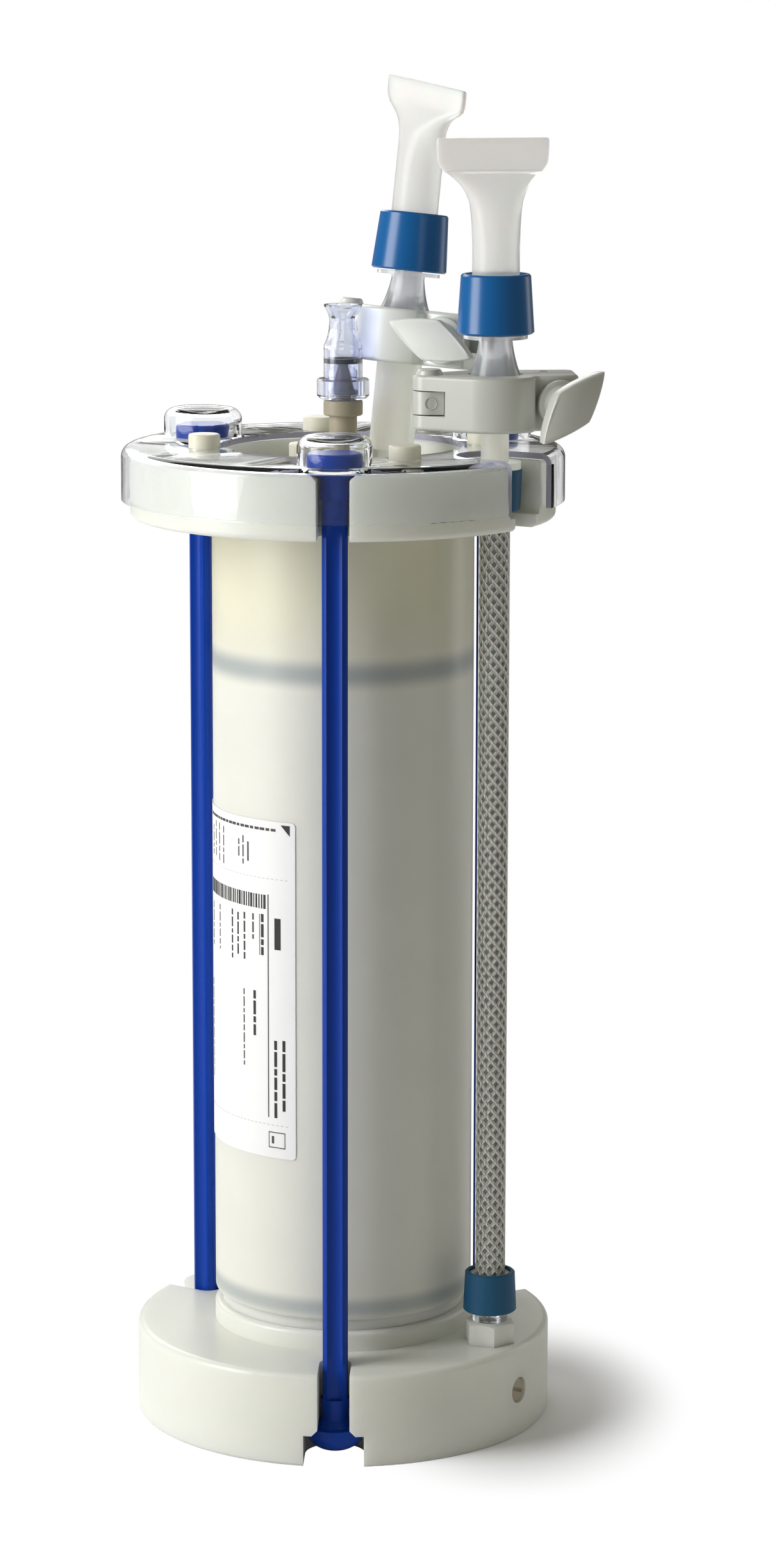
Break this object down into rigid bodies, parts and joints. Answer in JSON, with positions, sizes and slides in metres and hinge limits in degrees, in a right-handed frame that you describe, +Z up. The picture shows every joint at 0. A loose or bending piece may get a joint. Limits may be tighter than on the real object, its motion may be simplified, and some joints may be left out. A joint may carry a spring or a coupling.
{
  "type": "chromatography column",
  "caption": "Upright prepacked chromatography column: milky tube clamped between a round base and top ring by blue tie rods, with side transfer hose, vent and clamped inlet and outlet.",
  "frame": {"origin": "centre of the base's underside, on the floor", "axes": "+Z up along the column; the front tie rod is at -Y and the transfer hose is 60 degrees towards +X from it"},
  "size_m": [0.1635, 0.1516, 0.4643],
  "materials": {
    "milky_plastic": "milky white, faintly see-through moulded plastic",
    "tube_plastic": "translucent white tube",
    "resin": "packed beads, off-white",
    "screen": "fine woven white screen",
    "seal_rubber": "black elastomer",
    "gasket_rubber": "white elastomer",
    "dark_rubber": "dark elastomer",
    "beige_plastic": "beige engineering plastic",
    "ivory_plastic": "warm ivory plastic",
    "clear_plastic": "clear moulded plastic",
    "rod_blue": "royal blue moulded plastic",
    "hose_braid": "clear hose with white braid",
    "collar_teal": "dark teal blue plastic",
    "sleeve_blue": "mid blue plastic",
    "vent_clear": "clear plastic with a lavender tint",
    "stopper_grey": "dark grey plastic",
    "clamp_grey": "light grey glass-filled plastic",
    "clamp_white": "off-white glass-filled plastic",
    "pin_steel": "plain steel pin",
    "tubing": "milky soft tubing",
    "label_white": null
  },
  "bodies": {
    "column": {"base_lid": "milky_plastic", "top_ring": "milky_plastic", "top_adapter": "milky_plastic", "bottom_adapter": "milky_plastic", "column_tube": "tube_plastic", "resin_bed": "resin", "bottom_support_screen": "screen", "top_support_screen": "screen", "bottom_o_ring": "seal_rubber", "top_o_ring": "seal_rubber", "channel_plug_seal": "seal_rubber", "outlet_gasket": "gasket_rubber", "inlet_gasket": "gasket_rubber", "vent_seal": "dark_rubber", "channel_plug_screw": "beige_plastic", "vent_fitting": "beige_plastic", "ring_screws": "ivory_plastic", "purge_plug": "ivory_plastic", "clear_cover": "clear_plastic", "tie_rod_front": "rod_blue", "tie_rod_back_left": "rod_blue", "tie_rod_back_right": "rod_blue", "hose_hex_union": "milky_plastic", "lower_hose_barb": "clear_plastic", "braided_hose": "hose_braid", "lower_hose_collet": "milky_plastic", "upper_hose_collet": "milky_plastic", "lower_hose_collar": "collar_teal", "upper_hose_collar": "collar_teal", "vent_housing": "vent_clear", "vent_lock_ring": "vent_clear", "vent_stopper": "stopper_grey", "label": "label_white", "outlet_pipe": "milky_plastic", "inlet_pipe": "milky_plastic", "outlet_clamp_front_jaw": "clamp_grey", "outlet_clamp_rear_jaw": "clamp_grey", "outlet_clamp_hinge_pin": "clamp_grey", "outlet_clamp_pivot_pin": "pin_steel", "outlet_tubing_adapter": "clear_plastic", "outlet_tubing_sleeve": "sleeve_blue", "outlet_tubing_collet": "milky_plastic", "outlet_sealed_tubing": "tubing", "inlet_clamp_front_jaw": "clamp_white", "inlet_clamp_rear_jaw": "clamp_white", "inlet_clamp_hinge_pin": "clamp_white", "inlet_clamp_pivot_pin": "pin_steel", "inlet_tubing_adapter": "clear_plastic", "inlet_tubing_sleeve": "sleeve_blue", "inlet_tubing_collet": "milky_plastic", "inlet_sealed_tubing": "tubing"},
    "outlet_bolt": {"outlet_clamp_swing_bolt": "clamp_grey"},
    "outlet_nut": {"outlet_clamp_wing_nut": "clamp_grey"},
    "inlet_bolt": {"inlet_clamp_swing_bolt": "clamp_white"},
    "inlet_nut": {"inlet_clamp_wing_nut": "clamp_white"}
  },
  "joints": [
    {"name": "outlet_bolt_swing", "type": "hinge", "parent": "column", "child": "outlet_bolt", "pos_m": [0.06824, -0.01992, 0.3586], "axis": [0, 0, 1], "range_deg": [0, 75]},
    {"name": "outlet_nut_spin", "type": "hinge", "parent": "outlet_bolt", "child": "outlet_nut", "pos_m": [0.06824, -0.01992, 0.3586], "axis": [0.3256, -0.9455, 0], "continuous": true},
    {"name": "inlet_bolt_swing", "type": "hinge", "parent": "column", "child": "inlet_bolt", "pos_m": [0.0385, 0.01424, 0.37474], "axis": [0.0958, 0.0725, 0.9928], "range_deg": [0, 16]},
    {"name": "inlet_nut_spin", "type": "hinge", "parent": "inlet_bolt", "child": "inlet_nut", "pos_m": [0.0385, 0.01424, 0.37474], "axis": [-0.2736, -0.957, 0.0963], "continuous": true}
  ]
}
